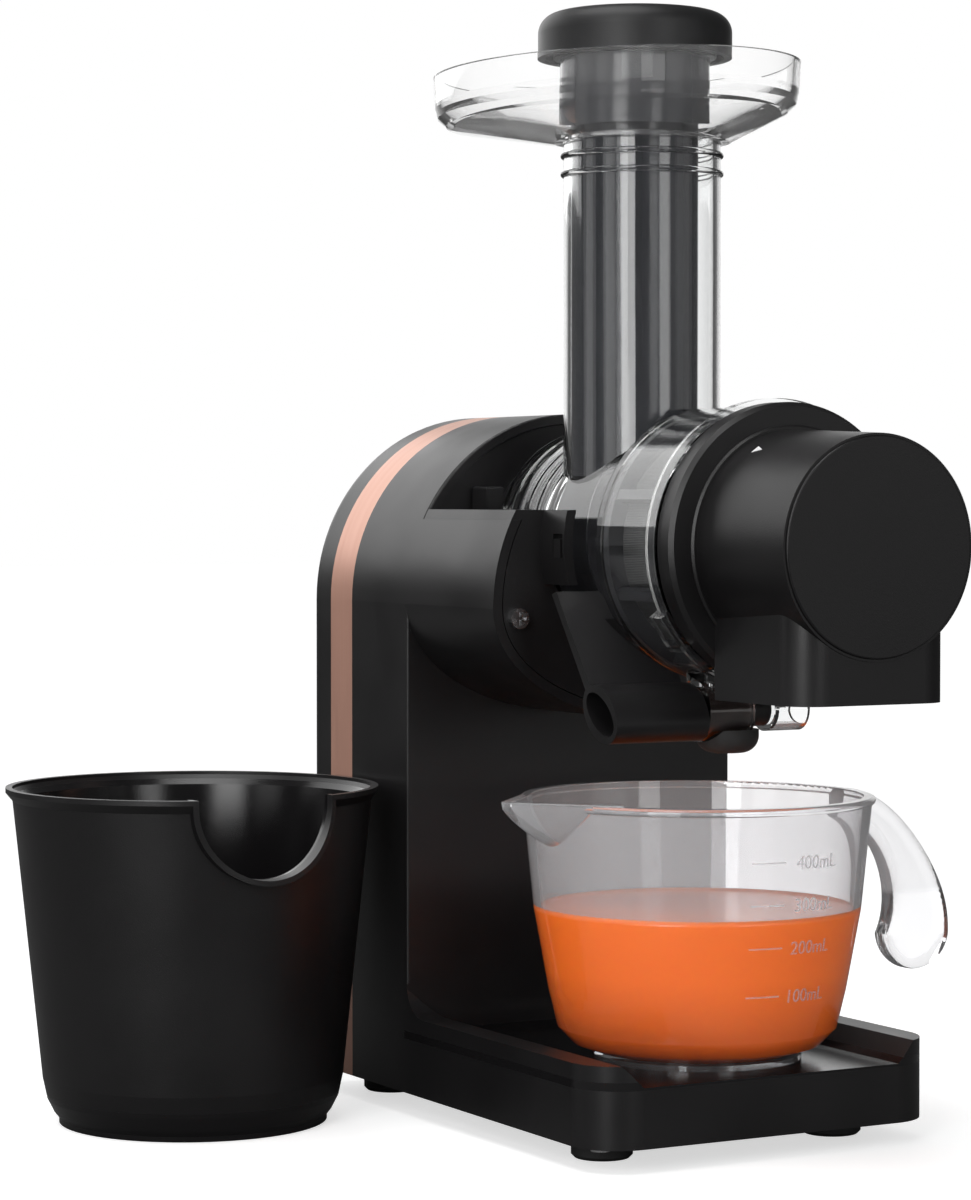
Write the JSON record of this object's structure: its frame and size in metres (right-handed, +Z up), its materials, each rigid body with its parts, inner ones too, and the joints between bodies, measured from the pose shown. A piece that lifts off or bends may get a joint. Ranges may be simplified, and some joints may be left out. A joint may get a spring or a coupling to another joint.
{
  "type": "slow juicer",
  "caption": "Horizontal slow juicer: motor housing with tray base, clear drum with feed tube and food tray, auger, pulp chute, drip lever, clear jug and black pulp bin.",
  "frame": {"origin": "the middle of the front right foot's underside, on the table", "axes": "+X to the machine's right, +Y to its back, +Z up"},
  "size_m": [0.2654, 0.2522, 0.3355],
  "materials": {
    "charcoal_shell": "satin",
    "black_plastic": "satin",
    "copper_trim": "metallic, satin",
    "clear_plastic": "clear, polished",
    "grey_plastic": "polished",
    "auger_plastic": "satin",
    "gear_plastic": "satin",
    "steel": "brushed",
    "lamination_steel": "satin",
    "winding_copper": "enamelled",
    "rubber_black": "matte",
    "silicone": "matte",
    "board_green": "satin"
  },
  "bodies": {
    "base": {"motor_housing": "charcoal_shell", "rear_cover": "charcoal_shell", "copper_band": "copper_trim", "bottom_plate": "black_plastic", "rubber_feet": "rubber_black", "bottom_screws": "steel", "rear_screws": "steel", "front_plate": "black_plastic", "drum_cradle": "black_plastic", "cradle_screws": "steel", "button_guide": "black_plastic", "button_spring": "steel", "interlock_switch": "black_plastic", "interlock_tab": "black_plastic", "switch_bezel": "black_plastic", "cord_gland": "rubber_black", "control_board": "board_green", "gearbox_plate": "steel", "idler_pins": "steel", "motor_stator": "lamination_steel", "stator_windings": "winding_copper", "motor_bearings": "steel", "motor_bracket": "steel", "output_bearing": "steel", "shaft_seal": "silicone"},
    "motor": {"motor_rotor": "lamination_steel", "motor_shaft": "steel", "motor_pinion": "steel", "cooling_fan": "black_plastic"},
    "first_gear": {"first_gear": "gear_plastic"},
    "second_gear": {"second_gear": "gear_plastic"},
    "output": {"output_gear": "gear_plastic", "output_shaft": "steel"},
    "auger": {"auger": "auger_plastic", "auger_shaft": "steel"},
    "drum": {"drum": "clear_plastic", "drum_seal": "silicone", "outlet_tip": "rubber_black", "strainer_frame": "auger_plastic", "strainer_mesh": "steel", "valve_seal": "silicone"},
    "cap": {"end_cap": "black_plastic", "cap_face": "black_plastic", "cap_bush": "gear_plastic", "cap_seal": "silicone"},
    "lever": {"drip_lever": "black_plastic"},
    "hopper": {"hopper_tray": "clear_plastic"},
    "pusher": {"pusher_body": "grey_plastic", "pusher_cap": "grey_plastic"},
    "button": {"release_button": "black_plastic"},
    "switch": {"power_switch": "black_plastic"},
    "jug": {"jug": "clear_plastic"},
    "bin": {"pulp_bin": "black_plastic"}
  },
  "joints": [
    {"name": "motor_spin", "type": "hinge", "parent": "base", "child": "motor", "pos_m": [-0.04, 0.104, 0.0896], "axis": [0, -1, 0], "continuous": true},
    {"name": "first_gear_spin", "type": "hinge", "parent": "base", "child": "first_gear", "pos_m": [-0.026, 0.104, 0.1217], "axis": [0, -1, 0], "continuous": true},
    {"name": "second_gear_spin", "type": "hinge", "parent": "base", "child": "second_gear", "pos_m": [-0.062, 0.104, 0.1377], "axis": [0, -1, 0], "continuous": true},
    {"name": "output_spin", "type": "hinge", "parent": "base", "child": "output", "pos_m": [-0.04, 0.104, 0.177], "axis": [0, -1, 0], "continuous": true},
    {"name": "auger_spin", "type": "hinge", "parent": "base", "child": "auger", "pos_m": [-0.04, 0.104, 0.177], "axis": [0, -1, 0], "continuous": true},
    {"name": "drum_twist", "type": "hinge", "parent": "base", "child": "drum", "pos_m": [-0.04, 0.034, 0.177], "axis": [0, 1, 0], "range_deg": [0, 35]},
    {"name": "cap_twist", "type": "hinge", "parent": "drum", "child": "cap", "pos_m": [-0.04, -0.036, 0.177], "axis": [0, 1, 0], "range_deg": [0, 30]},
    {"name": "lever_swing", "type": "hinge", "parent": "drum", "child": "lever", "pos_m": [-0.04, -0.012, 0.129], "axis": [-1, 0, 0], "range_deg": [0, 30]},
    {"name": "hopper_lift", "type": "slide", "parent": "drum", "child": "hopper", "axis": [0, 0, 1], "range_m": [0, 0.13]},
    {"name": "pusher_lift", "type": "slide", "parent": "hopper", "child": "pusher", "axis": [0, 0, 1], "range_m": [0, 0.12]},
    {"name": "button_press", "type": "slide", "parent": "base", "child": "button", "axis": [0, 0, -1], "range_m": [0, 0.003], "stiffness_N_per_m": 300, "springref_m": -0.002, "deforming": ["button_spring"]},
    {"name": "switch_rock", "type": "hinge", "parent": "base", "child": "switch", "pos_m": [-0.04, 0.1503, 0.046], "axis": [1, 0, 0], "range_deg": [-12, 12]},
    {"name": "jug_slide", "type": "slide", "parent": "base", "child": "jug", "axis": [0, -1, 0], "range_m": [0, 0.15]},
    {"name": "bin_lift", "type": "slide", "parent": "base", "child": "bin", "axis": [0, 0, 1], "range_m": [0, 0.15]}
  ],
  "couplings": [
    {"joint": "first_gear_spin", "follows": "motor_spin", "ratio": -0.25},
    {"joint": "second_gear_spin", "follows": "motor_spin", "ratio": 0.071429},
    {"joint": "output_spin", "follows": "motor_spin", "ratio": -0.02381},
    {"joint": "auger_spin", "follows": "motor_spin", "ratio": -0.02381}
  ]
}
